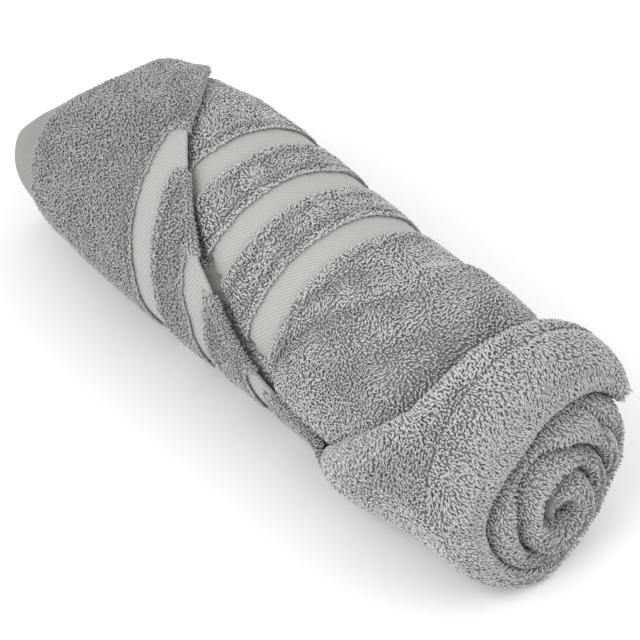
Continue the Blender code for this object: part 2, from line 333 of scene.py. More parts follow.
def wound(angle, place):
    """Point of the ground cloth's outer face, for arrays of winding angle and place."""
    angle, place = np.broadcast_arrays(np.asarray(angle, float), np.asarray(place, float))
    turn = np.radians(angle)
    away = (-np.sin(turn), -np.cos(turn))
    local = around(angle)
    full = along(PROFILE, place) - PILE
    outer = np.where(angle >= SEAM, outer_height(angle, place), 0.0)
    second = (angle < SEAM) & (angle > UNDER_FROM)
    under = np.where(second, soft_height(local, place) - creases(local, place), 0.0)
    inside = ramp(angle, CORE_ANGLE, UNDER_FROM)
    radius = mix(CORE_RADIUS, full, inside) + outer + under
    axis = middle(place)
    y = radius * away[0]
    z = axis + radius * away[1] - slump(away[1], axis, place) * radius
    coil = np.maximum(along(COIL, angle) - PILE, LEAST_COIL)
    coiled = 1.0 - ease(angle, COILED_AT, LOOSE_AT)
    near = ease(place, NEAR_FROM, LIP_START) * coiled
    y = mix(y, CORE[0] + coil * away[0], near)
    z = mix(z, CORE[1] + coil * away[1], near)
    lean = END_TILT * (axis - z) * ease(place, TILT_FROM, LIP_START)
    return np.stack([place + lean, y + AXIS_Y, z], axis=-1)


def layer(angle, place, depth):
    """A layer of the folded stack: depth 0 is its outer face, 1 the next turn's outer face."""
    depth = np.asarray(depth, float)[..., None]
    return mix(wound(angle, place), wound(np.asarray(angle) - 360.0, place), depth)


# Depths below are shares of the way from a turn's outer face to the next turn's outer face
CURL = 0.0014              # radius of the lap's free edge
CURL_DEEPEST = 0.9
CURL_CLOSED = 1.2          # reach of the closed edge, as a share of that radius
CUFF_ROUND = 0.75 * ROUND  # reach of the cuff's rounded edge
CUFF_DROP = 0.42           # half of its depth
CUFF_FROM = 0.1            # the cuff's end closes only past this place
LAST_LAYER = 0.74          # depth of the lining
MIDDLE_LAYER = 0.50        # depth of the two layers between the outer face and the lining
INNER_LAYER = 0.25
TURN_GAP = 0.0042          # room between the lining and the next turn, for two piles
LINING_SPAN = (0.5, 0.9)   # least and greatest depth of the lining at the folded end
LEAST_TURN = 0.001
HALF = math.pi             # an edge turned right over

BACK_LIP = 0.0045          # how far the fold falls short at the back, and at the foot
BACK_LIP_AT = (-58.0, 45.0)
FOOT_LIP = 0.0025
FOOT_LIP_AT = (25.0, 35.0)
LIP_THIN = 0.35            # reach of a fold with no thickness, as a share
LIP_FULL = 0.014           # thickness over which the reach grows by the whole
LEAST_FOLD = 0.02
LIP_CREASE = 0.0016        # depth of the crease in the fold
LIP_CREASE_AT = 0.56 * HALF
LIP_CREASE_WIDTH = 0.22
LIP_BLUNT = 0.6            # below 1 the fold is blunter than a half circle
DOME_BLUNT = 0.3
PIT = [(-160.0, 0.12), (-133.0, 0.55), (-108.0, 0.42)]   # angle, share of the way over the fold
PIT_DEPTH = 0.0060
PIT_WIDTH = 0.14
PIT_RISE = (-172.0, -158.0)
PIT_FALL = (-112.0, -85.0)


def curl_share(angle):
    """How far the mouth between lap and cuff has opened."""
    return ease(angle, *MOUTH)


def lap_curl(angle, turn):
    """The lap's rounded free edge, turned under: turn 0 at its top, pi below it."""
    edge = lap_edge(angle) - CURL
    flat = edge + CURL * CURL_CLOSED * turn / HALF
    place = mix(flat, edge + CURL * np.sin(turn), curl_share(angle))
    edge = np.broadcast_to(edge, np.shape(place))
    room = outer_height(angle, edge) + creases(angle, edge) - soft_height(angle, edge)
    drop = CURL * (1.0 - np.cos(turn)) / np.maximum(room, LAP) * curl_share(angle)
    return place, np.clip(drop, 0.0, CURL_DEEPEST)


def cuff_curl(angle, turn):
    """The cuff's thick rounded edge: turn 0 at its top, pi below it."""
    edge = cuff_edge(angle) + CUFF_ROUND
    flat = edge - CUFF_ROUND * turn / HALF
    place = mix(flat, edge - CUFF_ROUND * np.sin(turn), curl_share(angle))
    drop = CUFF_DROP * (1.0 - np.cos(turn)) * curl_share(angle)
    return place, drop


def tail_depth(angle, place):
    """The outermost turn's end closes on its own lining past the cuff's last angle."""
    t = ramp(angle, *CUFF_END)
    return np.where(place > CUFF_FROM, CUFF_DROP * (1.0 - np.sqrt(1.0 - t * t)), 0.0)


def outer_face(angle, place, depth=0.0):
    """The outer face, or deeper, with the closed end of the outermost turn."""
    return layer(angle, place, np.maximum(depth, tail_depth(angle, place)))


def last_layer(angle):
    """Depth of the innermost layer, a gap for two piles short of the next turn."""
    start = np.full_like(angle, LIP_START)
    turn = np.linalg.norm(wound(angle, start) - wound(angle - 360.0, start), axis=-1)
    return np.clip(1.0 - TURN_GAP / np.maximum(turn, LEAST_TURN), *LINING_SPAN)


def near_lip(angle, turn, outer_depth=0.0, inner_depth=None, start=LIP_START, reach=None):
    """Round the fold at the folded end: turn 0 on the outside, pi on the inside."""
    turn = np.clip(turn, 0.0, HALF)
    reach = LIP_REACH - PILE if reach is None else reach
    reach = reach - BACK_LIP * bell(angle, *BACK_LIP_AT) - FOOT_LIP * bell(angle, *FOOT_LIP_AT)
    inner_depth = last_layer(angle) if inner_depth is None else inner_depth
    outer_depth = np.maximum(outer_depth, tail_depth(angle, 1.0))
    inner_depth = np.maximum(inner_depth - tail_depth(angle, 1.0), outer_depth + LEAST_FOLD)
    outer = layer(angle, start, outer_depth)
    inner = layer(angle, start, inner_depth)
    across = 0.5 - 0.5 * np.cos(turn)
    point = mix(outer, inner, across[..., None])
    thick = np.linalg.norm(outer - inner, axis=-1)
    fullness = np.minimum(1.0, LIP_THIN + thick / LIP_FULL)
    crease = LIP_CREASE * bell(turn, LIP_CREASE_AT, LIP_CREASE_WIDTH) * fullness
    pit = ease(angle, *PIT_RISE) * (1.0 - ease(angle, *PIT_FALL))
    crease = crease + PIT_DEPTH * pit * bell(across, along(PIT, angle), PIT_WIDTH)
    out = np.hypot(point[..., 1] - AXIS_Y - CORE[0], point[..., 2] - CORE[1]) / DOME_RADIUS
    dome = DOME * np.clip(1.0 - out * out, 0.0, 1.0) * np.sin(turn) ** DOME_BLUNT
    point[..., 0] += reach * fullness * np.sin(turn) ** LIP_BLUNT + dome - crease
    return point


FAR_FOLD = HEM_END + 0.008     # place where the folds at the hem end start
FAR_REACH = 0.005
INNER_LIP = LIP_START - 0.002  # place where the inner fold at the folded end starts
INNER_REACH = 0.006


def far_lip(angle, turn, outer_depth, inner_depth, reach):
    """Round a fold at the hem end: turn 0 on the outside, pi on the inside."""
    outer = layer(angle, FAR_FOLD, outer_depth)
    inner = layer(angle, FAR_FOLD, inner_depth)
    point = mix(outer, inner, (0.5 - 0.5 * np.cos(turn))[..., None])
    point[..., 0] -= reach * np.sin(turn)
    return point


class Row:
    """One row of the sheet, a point for each winding angle, and its length along the cut."""

    def __init__(self, zone, points, length):
        self.zone = zone
        self.points = points
        self.length = length


COLUMN_STEP = 5.0
TAIL = 290.0               # angle where the outermost turn ends, at the back
columns = np.arange(CORE_ANGLE, TAIL + COLUMN_STEP, COLUMN_STEP)
rows = []


def add_row(zone, points, length):
    rows.append(Row(zone, points, length))


# Turned hem, from its stitched edge inside, out over the rim
HEM_DEEPEST = 0.70
HEM_TURNED = [  # distance from the rim, distance inside the outer face
    (0.0160, 0.0026),
    (0.0080, 0.0026),
    (0.0012, 0.0022),
    (0.0, 0.0011),
]
RIM = HEM_END + 0.0004     # place of the outer face's first row
for inset_place, sunk in HEM_TURNED:
    place = np.full_like(columns, HEM_END + inset_place)
    room = np.linalg.norm(wound(columns, place) - wound(columns - 360.0, place), axis=-1)
    add_row("hem", outer_face(columns, place, np.minimum(sunk / room, HEM_DEEPEST)), -inset_place)

# Outer face: the lap and its edge, the cuff's edge and the cuff
for share in np.linspace(0.0, 1.0, 62):
    place = mix(RIM, lap_edge(columns) - CURL, share)
    add_row("lap", outer_face(columns, place), place - HEM_END)
for turn in np.linspace(0.0, HALF, 6)[1:]:
    place, drop = lap_curl(columns, turn)
    add_row("lap_curl", outer_face(columns, place, drop), place - HEM_END)
for turn in np.linspace(HALF, 0.0, 7)[:-1]:
    place, drop = cuff_curl(columns, turn)
    add_row("cuff_curl", outer_face(columns, place, drop), place - HEM_END)
for share in np.linspace(0.0, 1.0, 18):
    place = mix(cuff_edge(columns) + CUFF_ROUND, LIP_START, share)
    add_row("cuff", outer_face(columns, place), place - HEM_END)

# Fold at the folded end, the lining behind it, and the inner layers, fold by fold
LAST_FOLD = 0.45           # least depth of the lining near the cuff's end
FAR_CUT = 0.70             # cut lengths where the inner folds lie
FOLD_CUT = 0.01            # and the length that one takes up
INNER_CUT = 1.05
lip_length = 0.036
near_face = LIP_START - HEM_END
for turn in np.linspace(0.0, HALF, 14)[1:-1]:
    add_row("lip", near_lip(columns, np.full_like(columns, turn)), near_face + lip_length * turn / HALF)
inner_places = np.linspace(LIP_START, FAR_FOLD, 14)
for place in inner_places:
    depth = np.maximum(LAST_LAYER - tail_depth(columns, 1.0), LAST_FOLD)
    length = near_face + lip_length + LIP_START - place
    add_row("lining", layer(columns, np.full_like(columns, place), depth), length)
for turn in np.linspace(0.0, HALF, 7)[1:-1]:
    fold = far_lip(columns, np.full_like(columns, HALF - turn), MIDDLE_LAYER, LAST_LAYER, FAR_REACH)
    add_row("far_lip", fold, FAR_CUT + FOLD_CUT * (turn / HALF - 0.5))
for place in inner_places[::-1]:
    face = layer(columns, np.full_like(columns, place), MIDDLE_LAYER)
    add_row("inside", face, FAR_CUT + FOLD_CUT + place - FAR_FOLD)
for turn in np.linspace(HALF, 0.0, 6)[1:-1]:
    at = np.full_like(columns, turn)
    add_row("inside", near_lip(columns, at, INNER_LAYER, MIDDLE_LAYER, INNER_LIP, INNER_REACH), INNER_CUT)
for place in np.linspace(INNER_LIP, HEM_END + 0.003, 14):
    face = layer(columns, np.full_like(columns, place), INNER_LAYER)
    add_row("inside", face, INNER_CUT + FOLD_CUT + LIP_START - place)

CLOTH_FLOOR = 0.0008       # least height of the ground cloth over the floor
SPLIT_FROM = MOUTH[0] + 4.0   # angle from which the mouth is open
CUFF_STOP = CUFF_END[1] + 1.0
RIM_END = 283.0            # angle where the lap ends, at the back
LINING_END = 55.0          # from this angle on the lining shows only behind the cuff


def cloth_grid():
    """The rows as one sheet, without what the mouth and the outermost turn's end leave open."""
    points = np.stack([row.points for row in rows])
    points[..., 2] = np.maximum(points[..., 2], CLOTH_FLOOR)
    sheet = bmesh.new()
    bmesh.ops.create_grid(sheet, x_segments=len(columns) - 1, y_segments=len(rows) - 1, size=0.5)
    width = sheet.verts.layers.float.new("wide")
    length = sheet.verts.layers.float.new("long")
    spot = {}
    for vert in sheet.verts:
        i = round((vert.co.x + 0.5) * (len(columns) - 1))
        j = round((vert.co.y + 0.5) * (len(rows) - 1))
        spot[vert] = (i, j)
        vert.co = points[j, i]
        run = rows[j].length
        vert[length] = float(run[i] if isinstance(run, np.ndarray) else run)
        vert[width] = columns[i]
    gone = []
    for face in sheet.faces:
        i = max(spot[vert][0] for vert in face.verts)
        j = min(spot[vert][1] for vert in face.verts)
        angle = columns[i]
        zones = {rows[j].zone, rows[j + 1].zone}
        place = face.calc_center_median().x
        split = zones == {"lap_curl", "cuff_curl"} and angle > SPLIT_FROM
        past_cuff = bool(zones & {"cuff_curl", "cuff", "lip"}) and angle > CUFF_STOP
        past_rim = bool(zones & {"lap", "hem", "lap_curl"}) and angle > RIM_END
        lining = bool(zones & {"lining", "far_lip", "inside"}) and angle > LINING_END
        behind_cuff = zones == {"lining"} and place > cuff_edge(angle) + ROUND
        kept_lining = (behind_cuff or zones == {"lip", "lining"}) and angle < CUFF_STOP
        if split or past_cuff or past_rim or (lining and not kept_lining):
            gone.append(face)
    bmesh.ops.delete(sheet, geom=gone, context="FACES")
    loose = [vert for vert in sheet.verts if not vert.link_faces]
    bmesh.ops.delete(sheet, geom=loose, context="VERTS")
    bmesh.ops.reverse_faces(sheet, faces=sheet.faces[:])
    mesh = bpy.data.meshes.new("ground_cloth")
    sheet.to_mesh(mesh)
    sheet.free()
    mesh.shade_smooth()
    piece = bpy.data.objects.new("ground_cloth", mesh)
    bpy.context.scene.collection.objects.link(piece)
    return piece


class Shade:
    """A socket that takes Python's operators and adds the Math nodes they stand for."""

    def __init__(self, tree, socket):
        self.tree = tree
        self.socket = socket

    def math(self, operation, *others, flip=False):
        values = [self, *others]
        if flip:
            values.reverse()
        return node(self.tree, "ShaderNodeMath", {"operation": operation}, dict(enumerate(values)))

    def __add__(self, other):
        return self.math("ADD", other)

    def __mul__(self, other):
        return self.math("MULTIPLY", other)

    def __sub__(self, other):
        return self.math("SUBTRACT", other)

    def __rsub__(self, other):
        return self.math("SUBTRACT", other, flip=True)

    __radd__ = __add__
    __rmul__ = __mul__

    def between(self, low, high):
        """1 where the value lies between two limits, else 0."""
        return self.math("GREATER_THAN", low) * self.math("LESS_THAN", high)


def node(tree, kind, settings=None, values=None, output=0):
    """A node with its settings made and its sockets filled, as the Shade of one output."""
    made = tree.nodes.new(kind)
    for name, value in (settings or {}).items():
        setattr(made, name, value)
    for name, value in (values or {}).items():
        if isinstance(value, Shade):
            tree.links.new(value.socket, made.inputs[name])
        else:
            made.inputs[name].default_value = value
    return Shade(tree, made.outputs[output])


def blend_colour(tree, share, first, second):
    values = {0: share, 6: first, 7: second}
    return node(tree, "ShaderNodeMix", {"data_type": "RGBA"}, values, 2)


def cotton(name, roughness):
    """A matte cotton with its sheen, and the tree to colour it in."""
    material = bpy.data.materials.new(name)
    material.use_nodes = True
    shader = material.node_tree.nodes["Principled BSDF"]
    shader.inputs["Roughness"].default_value = roughness
    shader.inputs["Specular IOR Level"].default_value = 0.25
    shader.inputs["Sheen Weight"].default_value = 0.15
    shader.inputs["Sheen Roughness"].default_value = 0.6
    return material, material.node_tree, shader


TWILL_LIGHT = (0.392, 0.396, 0.372, 1.0)
TWILL_DARK = (0.305, 0.31, 0.29, 1.0)
GROUND_GREY = (0.25, 0.26, 0.25, 1.0)
PAINTED_SHADE_BLACK = (0.0, 0.0, 0.0, 1.0)
HEM_PAINTED_SHADE = 0.64           # painted shade: the hem's lightness, as a share of the stripes'
HEM_DEPTH = 0.35           # how much darker its furrows are
HEM_RIBS = 0.72            # how close its ribs lie, as a share of the stripes'
RIB_PITCH = 0.0015
RIB_SLANT = math.radians(36.0)
RIB_RADIUS = 0.052         # radius at which the ribs are measured round the roll
RIB_BUMP = 0.0003


def ground_material():
    """Plain ground, with slanting twill ribs on the stripes and the hem, and the hem in painted shade."""
    material, tree, shader = cotton("woven_ground", 0.9)
    length = node(tree, "ShaderNodeAttribute", {"attribute_name": "cut_place"}, output=2)
    width = node(tree, "ShaderNodeAttribute", {"attribute_name": "cut_round"}, output=2)
    rib = node(tree, "ShaderNodeAttribute", {"attribute_name": "cut_rib"}, output=2)
    smooth = length.between(-1.0, HEM_WIDTH)
    for number in range(STRIPES):
        left = FIRST_STRIPE + number * STRIPE_PITCH - HEM_END
        smooth = smooth + length.between(left, left + STRIPE_WIDTH)
    hem = length.math("LESS_THAN", HEM_WIDTH)
    slant = (rib * math.cos(RIB_SLANT) - width * math.sin(RIB_SLANT)) * (1.0 - hem * (1.0 - HEM_RIBS))
    ribs = (slant * (2.0 * math.pi / RIB_PITCH)).math("SINE") * 0.5 + 0.5
    # Painted shade: the hem is mixed towards black
    painted_shading = 1.0 - hem * (1.0 - HEM_PAINTED_SHADE)
    twill = blend_colour(tree, ribs - hem * (1.0 - ribs) * HEM_DEPTH, TWILL_DARK, TWILL_LIGHT)
    twill = blend_colour(tree, painted_shading, PAINTED_SHADE_BLACK, twill)
    colour = blend_colour(tree, smooth, GROUND_GREY, twill)
    values = {"Strength": 0.25, "Distance": RIB_BUMP, "Height": ribs * smooth}
    bump = node(tree, "ShaderNodeBump", None, values)
    tree.links.new(colour.socket, shader.inputs["Base Color"])
    tree.links.new(bump.socket, shader.inputs["Normal"])
    return material


cloth = cloth_grid()
skew_angle = np.zeros(len(cloth.data.vertices))
cut_length = np.zeros(len(cloth.data.vertices))
cloth.data.attributes["wide"].data.foreach_get("value", skew_angle)
cloth.data.attributes["long"].data.foreach_get("value", cut_length)

# Where the stripes and their ribs lie on the cloth. The hem's far end shows as a smooth tongue in
# the middle of the folded end.
OUTER_CUT = 0.32           # cut length of the outer face
STRAIGHT_CUT = HEM_WIDTH + 0.01   # the hem, up to here, follows the rim
TONGUE_END = -935.0
past_hem = cut_length > STRAIGHT_CUT
lap_bend = np.where(cut_length < OUTER_CUT, bend(skew_angle, cut_length + HEM_END), 0.0)
cut_place = np.where(past_hem, cut_length - skew(skew_angle) - lap_bend, cut_length)
cut_rib = np.where(past_hem, cut_length - skew(skew_angle), cut_length)
tongue = (skew_angle < TONGUE_END) & (cut_length > near_face) & (cut_length < near_face + lip_length)
# The tongue takes the hem's colour, with its painted shade
cut_place = np.where(tongue, 0.5 * HEM_WIDTH, cut_place)
for name, values in (
    ("cut_place", cut_place),
    ("cut_rib", cut_rib),
    ("cut_round", np.radians(skew_angle) * RIB_RADIUS),
):
    cloth.data.attributes.new(name, "FLOAT", "POINT").data.foreach_set("value", values)
cloth.data.materials.append(ground_material())
CLOTH = 0.0009             # thickness of the ground without its pile
thicken = cloth.modifiers.new("thickness", "SOLIDIFY")
thicken.thickness = CLOTH
thicken.offset = -1.0
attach(cloth, "root")
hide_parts("rolled_towel")

# The pile of the outermost turn. Each loop of the real pile is a soft twist of cotton some 3 mm
# long, woven into the ground, that stands up and leans over. None grow on the hem or on the twill
# stripes, and beside a stripe the pile rolls over its own edge.
LOOP_LENGTH = 0.0025
LOOP_WIDTH = 0.00054
LOOP_GAP_ROUND = 0.00126
LOOP_GAP_ALONG = 0.00134
LATTICE_RADIUS = 0.055     # radius at which the gap round the roll is measured
JITTER = 0.36              # how far a loop strays from its spot, as a share of the gap
RINGS = [  # rise and sideways travel as shares of the length, share of the half width, tilt, painted shade ramp from the root
    (-0.14, 0.00, 0.80, 0.25, 0.0),
    (0.66, 0.26, 1.00, 0.60, 0.8),
]
CORNERS = 3
TIP = CORNERS * len(RINGS)   # number of a loop's last vertex
TIP_RISE = 0.68
TIP_LEAN = 0.93
OVAL = 0.8                 # thickness of a loop as a share of its width
STANDING = (1.08, 0.86)    # height of a loop that stands and of one that lies, for its length
REACHING = (0.65, 1.25)    # and how far they lean
PILE_FLOOR = 0.0001        # least height of the pile over the floor
TINY = 1e-12
TIP_GREY = (0.50, 0.515, 0.49, 1.0)
# Painted shade: the colour of the loops' roots, for the shade between the loops
ROOT_PAINTED_SHADE_GREY = (0.27, 0.28, 0.272, 1.0)
draw = np.random.default_rng(11)


def terry_material():
    """Cotton loops, painted darker towards their roots for the shade between them, each with its own tone
    and painted light.
    """
    material, tree, shader = cotton("terry_loops", 0.95)
    painted_shade_ramp = node(tree, "ShaderNodeAttribute", {"attribute_name": "painted_shade_ramp"}, output=2)
    tone_and_painted_light = node(tree, "ShaderNodeAttribute", {"attribute_name": "tone_and_painted_light"}, output=2)
    share = (painted_shade_ramp * 0.9 + 0.1) * tone_and_painted_light
    colour = blend_colour(tree, share, ROOT_PAINTED_SHADE_GREY, TIP_GREY)
    tree.links.new(colour.socket, shader.inputs["Base Color"])
    return material


pile_material = terry_material()


def pile(name, point, normal, heading, length, width, tone_and_painted_light, lie):
    """One mesh of loops: each a three-sided curved finger that leans along its heading."""
    stand = length * mix(*STANDING, lie)
    reach = length * mix(*REACHING, lie)
    count = len(point)
    side = np.cross(normal, heading)
    side /= np.linalg.norm(side, axis=-1, keepdims=True) + TINY
    heading = np.cross(side, normal)
    verts = np.zeros((count, TIP + 1, 3))
    painted_shade_ramps = np.zeros((count, TIP + 1))
    for ring, (rise, lean, half, tilt, light) in enumerate(RINGS):
        centre = point + normal * (rise * stand)[:, None] + heading * (lean * reach)[:, None]
        across = mix(heading, -normal, tilt)
        for corner in range(CORNERS):
            turn = 2.0 * math.pi * corner / CORNERS + 0.5 * math.pi
            offset = side * math.cos(turn) + across * (-OVAL * math.sin(turn))
            verts[:, ring * CORNERS + corner] = centre + offset * (half * width)[:, None]
            painted_shade_ramps[:, ring * CORNERS + corner] = light
    verts[:, TIP] = point + normal * (TIP_RISE * stand)[:, None] + heading * (TIP_LEAN * reach)[:, None]
    painted_shade_ramps[:, TIP] = 1.0
    verts[..., 2] = np.maximum(verts[..., 2], PILE_FLOOR)
    faces = []
    for corner in range(CORNERS):
        after = (corner + 1) % CORNERS
        faces.append((corner, after, CORNERS + after, CORNERS + corner))
        faces.append((CORNERS + corner, CORNERS + after, TIP))
    starts = np.arange(count) * (TIP + 1)
    corners = np.concatenate([np.array(face) for face in faces])
    sizes = np.array([len(face) for face in faces])
    mesh = bpy.data.meshes.new(name)
    mesh.vertices.add(count * (TIP + 1))
    mesh.vertices.foreach_set("co", verts.reshape(-1))
    mesh.loops.add(count * len(corners))
    mesh.loops.foreach_set("vertex_index", (starts[:, None] + corners[None, :]).reshape(-1).astype(np.int32))
    mesh.polygons.add(count * len(faces))
    firsts = np.concatenate([[0], np.cumsum(sizes)[:-1]])
    loop_starts = (np.arange(count)[:, None] * len(corners) + firsts[None, :]).reshape(-1)
    mesh.polygons.foreach_set("loop_start", loop_starts.astype(np.int32))
    mesh.update(calc_edges=True)
    mesh.validate()
    mesh.shade_smooth()
    mesh.attributes.new("painted_shade_ramp", "FLOAT", "POINT").data.foreach_set("value", painted_shade_ramps.reshape(-1))
    mesh.attributes.new("tone_and_painted_light", "FLOAT", "POINT").data.foreach_set("value", np.repeat(tone_and_painted_light, TIP + 1))
    piece = bpy.data.objects.new(name, mesh)
    bpy.context.scene.collection.objects.link(piece)
    piece.data.materials.append(pile_material)
    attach(piece, "root")
    return piece


WAVES = 7
WAVE_PITCH = (0.6, 1.7)    # length of the waves, as shares of the size asked for
WAVE_SUM = 2.6


def wander(x, y, seed, size):
    """Smooth noise from a few crossed waves, about -1 to 1."""
    waves = np.random.default_rng(seed)
    total = np.zeros_like(x)
    for _ in range(WAVES):
        heading = waves.uniform(0.0, 2.0 * math.pi)
        pitch = size * waves.uniform(*WAVE_PITCH)
        phase = waves.uniform(0.0, 2.0 * math.pi)
        total += np.sin((x * math.cos(heading) + y * math.sin(heading)) * 2.0 * math.pi / pitch + phase)
    return total / WAVE_SUM


def normal_of(surface, u, v, du, dv):
    """Point, normal and the direction of growing v, by small steps over a surface."""
    point = surface(u, v)
    along_u = surface(u + du, v) - surface(u - du, v)
    along_v = surface(u, v + dv) - surface(u, v - dv)
    normal = np.cross(along_u, along_v)
    normal /= np.linalg.norm(normal, axis=-1, keepdims=True) + TINY
    along_v /= np.linalg.norm(along_v, axis=-1, keepdims=True) + TINY
    return point, normal, along_v


LENGTH_SPREAD = (0.8, 1.2)
WIDTH_SPREAD = (0.85, 1.2)
TONE_SPREAD = (0.80, 1.10)
BROAD_SIZE = 0.045         # the pile lies over in broad waves and in small patches
PATCH_SIZE = 0.016
BROAD_LIE = 0.35
PATCH_LIE = 0.3
FOLD_LIE = 0.6             # how much more it lies on a fold, and how much lighter that is painted
FOLD_PAINTED_LIGHT = 0.42
# how much lighter a flatter lying loop is painted
LIE_PAINTED_LIGHT = 0.20


def strew(name, surface, u, v, du, dv, lean_of, size=1.0, outward=None, stray=0.42, bright=1.0, fold=0.0):
    """Loops on a surface at the spots (u, v). lean_of gives each loop's heading angle."""
    point, normal, along_v = normal_of(surface, u, v, du, dv)
    if outward is not None:
        wrong = np.einsum("ij,ij->i", normal, outward(point, u, v)) < 0.0
        normal[wrong] *= -1.0
    along_u = np.cross(along_v, normal)
    turn = lean_of(point, u, v) + draw.normal(0.0, stray, len(point))
    heading = along_v * np.cos(turn)[:, None] + along_u * np.sin(turn)[:, None]
    lengths = LOOP_LENGTH * size * draw.uniform(*LENGTH_SPREAD, len(point))
    widths = LOOP_WIDTH * size * draw.uniform(*WIDTH_SPREAD, len(point))
    x, y, z = point[:, 0], point[:, 1], point[:, 2]
    broad = wander(x + y, z - y, 21, BROAD_SIZE)
    patch = wander(x - z, x + y * 0.7 + z, 22, PATCH_SIZE)
    lie = np.clip(0.5 + BROAD_LIE * broad + PATCH_LIE * patch + FOLD_LIE * fold, 0.0, 1.0)
    tones = draw.uniform(*TONE_SPREAD, len(point))
    # Painted light: each loop's own random tone is scaled by its region's painted brightness, by painted
    # light and shade from fold, and painted lighter where it lies flatter
    tone_and_painted_light = bright * tones * (1.0 + FOLD_PAINTED_LIGHT * fold + LIE_PAINTED_LIGHT * (lie - 0.5))
    return pile(name, point, normal, heading, lengths, widths, tone_and_painted_light, lie)


def lattice(first_angle, last_angle, first_place, last_place, gap=1.0):
    """Jittered spots over a range of angles and places, each row set off by half a gap."""
    step = math.degrees(LOOP_GAP_ROUND * gap / LATTICE_RADIUS)
    angles = np.arange(first_angle, last_angle, step)
    places = np.arange(first_place, last_place, LOOP_GAP_ALONG * gap)
    angle, place = np.meshgrid(angles, places)
    angle = angle + 0.5 * step * (np.arange(len(places)) % 2)[:, None]
    angle = angle + draw.uniform(-JITTER, JITTER, angle.shape) * step
    place = place + draw.uniform(-JITTER, JITTER, place.shape) * LOOP_GAP_ALONG * gap
    return angle.ravel(), place.ravel()


PINCH_LEFT = 0.0030        # how far the pile closes over the lap's stripes, from the left
PINCH_RIGHT = 0.0018       # and from the right
PINCH_RISE = (20.0, 60.0)
PINCH_FALL = (84.0, 104.0)
CLOSED_BELOW = 95.0        # below this angle the second turn's last stripe is covered
CLOSED_PAST = 0.015        # and past this place


def stripe_sides(number, angle):
    """Left and right side of a stripe where its pile starts."""
    left = FIRST_STRIPE + number * STRIPE_PITCH + skew(angle)
    right = left + STRIPE_WIDTH
    pinch = ease(angle, *PINCH_RISE) * (1.0 - ease(angle, *PINCH_FALL))
    pinch = np.where(angle >= SEAM, pinch, 0.0)
    return left + PINCH_LEFT * pinch * (number > 0), right - PINCH_RIGHT * pinch * (number == 1)


def bare(angle, place):
    """Whether a spot lies on the hem or a twill stripe, which carry no loops."""
    found = place < HEM_END + HEM_WIDTH
    place = place - bend(angle, place)
    for number in range(STRIPES):
        left, right = stripe_sides(number, angle)
        found |= (place > left) & (place < right)
    closed = (angle < SEAM) & (around(angle) < CLOSED_BELOW) & (place > CLOSED_PAST)
    return found & ~closed


LEFT_RIDGE = (-0.0015, 0.0015)     # distance from that side of a stripe, half width
LEFT_FURROW = (-0.0046, 0.0016)
RIGHT_RIDGE = (0.0018, 0.0017)
RIGHT_FURROW = (0.0056, 0.0020)


def beside_stripes(angle, place):
    """Painted light on the pile's rolled edge beside each stripe, where its loops also lie flatter, and
    painted shade in the furrow behind it.
    """
    painted_shading = np.zeros_like(place)
    place = place - bend(angle, place)
    for number in range(STRIPES):
        left, right = stripe_sides(number, angle)
        painted_shading += 0.9 * bell(place - left, *LEFT_RIDGE) - 1.2 * bell(place - left, *LEFT_FURROW)
        painted_shading += 0.9 * bell(place - right, *RIGHT_RIDGE) - 0.9 * bell(place - right, *RIGHT_FURROW)
    return painted_shading


def from_axis(point, u, v):
    """Direction away from the roll's middle."""
    out = point - np.array([0.0, AXIS_Y, 0.0])
    out[:, 0] = 0.0
    out[:, 2] -= middle(point[:, 0])
    return out


def swirl(seed, base=0.0, spread=1.3, size=0.035):
    """Headings that turn slowly from place to place."""
    def lean_of(point, u, v):
        return base + spread * wander(np.radians(u) * LATTICE_RADIUS, v, seed, size)
    return lean_of


STEP_ROUND = 0.4           # small steps that a surface's slope is taken from: angle, place, turn
STEP_ALONG = 0.0004
STEP_TURN = 0.05


def on_roll(name, angle, place, lean_of, **look):
    """Loops on the roll's outer face."""
    steps = (STEP_ROUND, STEP_ALONG)
    return strew(name, outer_face, angle, place, *steps, lean_of, outward=from_axis, **look)


LAP_SPLIT = -0.06          # place where the lap's pile is parted in two meshes
LAP_TOP = 0.4 * CURL       # how far short of the lap's edge the pile on its top ends
CUFFED = (0.066, 0.088)    # places over which the lap's pile goes over into the cuff's, painted lighter
FLANK_PAINTED_LIGHT = 0.7                # how much lighter the cuff's pile is painted, low at the front
FLANK_AT = (48.0, 34.0)
angle, place = lattice(SEAM, TAIL, HEM_END, LIP_START)
keep = ~bare(angle, place)
keep &= np.where(angle < MOUTH[1], True, place < lap_edge(angle) - LAP_TOP)
left = keep & (place < LAP_SPLIT)
right = keep & (place >= LAP_SPLIT)
# Painted light: the lap's pile is painted darker than the rest, going over to the cuff's lighter pile, and
# lighter still low at the front of the cuff
cuffed = ease(place[right], *CUFFED)
flank_painted_light = FLANK_PAINTED_LIGHT * cuffed * bell(angle[right], *FLANK_AT)
fold_left = beside_stripes(angle[left], place[left])
fold_right = beside_stripes(angle[right], place[right]) + flank_painted_light
painted_light_right = mix(0.60, 1.10, cuffed)
pieces = [
    on_roll("pile_lap_hem_side", angle[left], place[left], swirl(1), stray=0.85, bright=0.52,
            fold=fold_left),
    on_roll("pile_lap_mouth_side", angle[right], place[right], swirl(2), stray=0.70, bright=painted_light_right,
            fold=fold_right),
]

